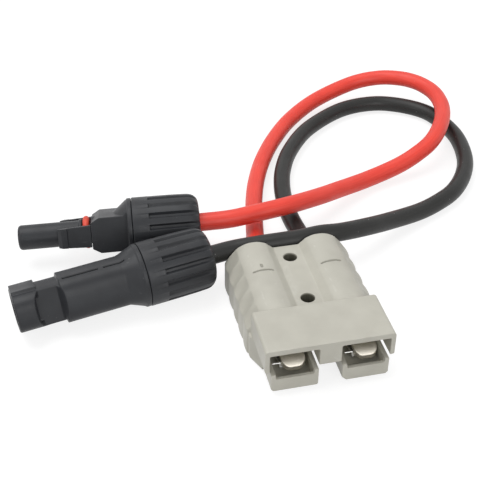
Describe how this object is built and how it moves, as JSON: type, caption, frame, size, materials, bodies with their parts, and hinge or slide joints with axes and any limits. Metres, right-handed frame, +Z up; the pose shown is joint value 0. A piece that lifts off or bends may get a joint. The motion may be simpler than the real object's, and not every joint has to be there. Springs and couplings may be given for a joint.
{
  "type": "solar cable connector",
  "caption": "Adapter lead from a flat two-pole battery connector to a mating pair of solar connectors, on a red and a black cable.",
  "frame": {"origin": "bottom centre of the grey housing, on the surface that the lead lies on", "axes": "-Y out of the housing's mating face, +Y along its two cables, +Z up, +X from the red pole to the black pole"},
  "size_m": [0.1721, 0.1606, 0.0205],
  "materials": {
    "grey_plastic": "moulded light grey plastic, fine matt grain",
    "black_plastic": "moulded charcoal plastic, matt with light scuffs",
    "silver_plate": "silver plated copper",
    "tin_plate": "tin plated copper",
    "spring_steel": "bright rolled spring steel",
    "copper_strand": "stranded tinned copper",
    "red_jacket": "smooth satin red cable jacket",
    "black_jacket": "smooth satin black cable jacket",
    "black_rubber": "soft black sealing rubber",
    "red_rubber": "soft red sealing rubber"
  },
  "bodies": {
    "lead": {"housing": "grey_plastic", "red_cable": "red_jacket", "black_cable": "black_jacket", "probe_body": "black_plastic", "probe_seal_ring": "red_rubber", "socket_contact": "tin_plate", "probe_gland_seal": "black_rubber", "probe_core_end": "copper_strand", "shell_body": "black_plastic", "pin_contact": "tin_plate", "shell_gland_seal": "black_rubber", "shell_core_end": "copper_strand"},
    "positive_tongue": {"positive_contact": "silver_plate", "positive_core_end": "copper_strand"},
    "negative_tongue": {"negative_contact": "silver_plate", "negative_core_end": "copper_strand"},
    "positive_leaf": {"positive_leaf_spring": "spring_steel"},
    "negative_leaf": {"negative_leaf_spring": "spring_steel"},
    "near_finger": {"latch_finger_near": "black_plastic"},
    "far_finger": {"latch_finger_far": "black_plastic"},
    "probe_collet": {"probe_gland_collet": "black_plastic"},
    "probe_nut": {"probe_gland_nut": "black_plastic"},
    "shell_collet": {"shell_gland_collet": "black_plastic"},
    "shell_nut": {"shell_gland_nut": "black_plastic"}
  },
  "joints": [
    {"name": "positive_tongue_flex", "type": "hinge", "parent": "lead", "child": "positive_tongue", "pos_m": [-0.01035, 0.0165, 0.00785], "axis": [1, 0, 0], "range_deg": [0, 1.8], "stiffness_Nm_per_rad": 0.2, "springref_deg": -2.86},
    {"name": "negative_tongue_flex", "type": "hinge", "parent": "lead", "child": "negative_tongue", "pos_m": [0.01035, 0.0165, 0.00785], "axis": [1, 0, 0], "range_deg": [0, 1.8], "stiffness_Nm_per_rad": 0.2, "springref_deg": -2.86},
    {"name": "positive_leaf_flex", "type": "hinge", "parent": "lead", "child": "positive_leaf", "pos_m": [-0.01035, -0.0098, 0.0037], "axis": [1, 0, 0], "range_deg": [0, 8], "stiffness_Nm_per_rad": 0.00001, "springref_deg": -45.84},
    {"name": "negative_leaf_flex", "type": "hinge", "parent": "lead", "child": "negative_leaf", "pos_m": [0.01035, -0.0098, 0.0037], "axis": [1, 0, 0], "range_deg": [0, 8], "stiffness_Nm_per_rad": 0.00001, "springref_deg": -45.84},
    {"name": "near_finger_flex", "type": "hinge", "parent": "lead", "child": "near_finger", "pos_m": [-0.05794, 0.04347, 0.01188], "axis": [-0.0196, -0.3744, -0.9271], "range_deg": [0, 4], "stiffness_Nm_per_rad": 0.05, "springref_deg": -5.73},
    {"name": "far_finger_flex", "type": "hinge", "parent": "lead", "child": "far_finger", "pos_m": [-0.05686, 0.05445, 0.00743], "axis": [0.0196, 0.3744, 0.9271], "range_deg": [0, 4], "stiffness_Nm_per_rad": 0.05, "springref_deg": -5.73},
    {"name": "probe_collet_slide", "type": "slide", "parent": "lead", "child": "probe_collet", "axis": [0.9957, -0.0915, 0.0158], "range_m": [0, 0.00301]},
    {"name": "probe_nut_turn", "type": "hinge", "parent": "probe_collet", "child": "probe_nut", "pos_m": [-0.04416, 0.04774, 0.00986], "axis": [0.9957, -0.0915, 0.0158], "range_deg": [0, 720]},
    {"name": "shell_collet_slide", "type": "slide", "parent": "lead", "child": "shell_collet", "axis": [0.986, 0.1595, 0.0482], "range_m": [0, 0.00301]},
    {"name": "shell_nut_turn", "type": "hinge", "parent": "shell_collet", "child": "shell_nut", "pos_m": [-0.0446, 0.02312, 0.01008], "axis": [0.986, 0.1595, 0.0482], "range_deg": [0, 720]}
  ],
  "couplings": [
    {"joint": "positive_leaf_flex", "follows": "positive_tongue_flex", "ratio": 4.4},
    {"joint": "negative_leaf_flex", "follows": "negative_tongue_flex", "ratio": 4.4},
    {"joint": "probe_collet_slide", "follows": "probe_nut_turn", "m_per_rad": 0.00023873},
    {"joint": "shell_collet_slide", "follows": "shell_nut_turn", "m_per_rad": 0.00023873}
  ]
}
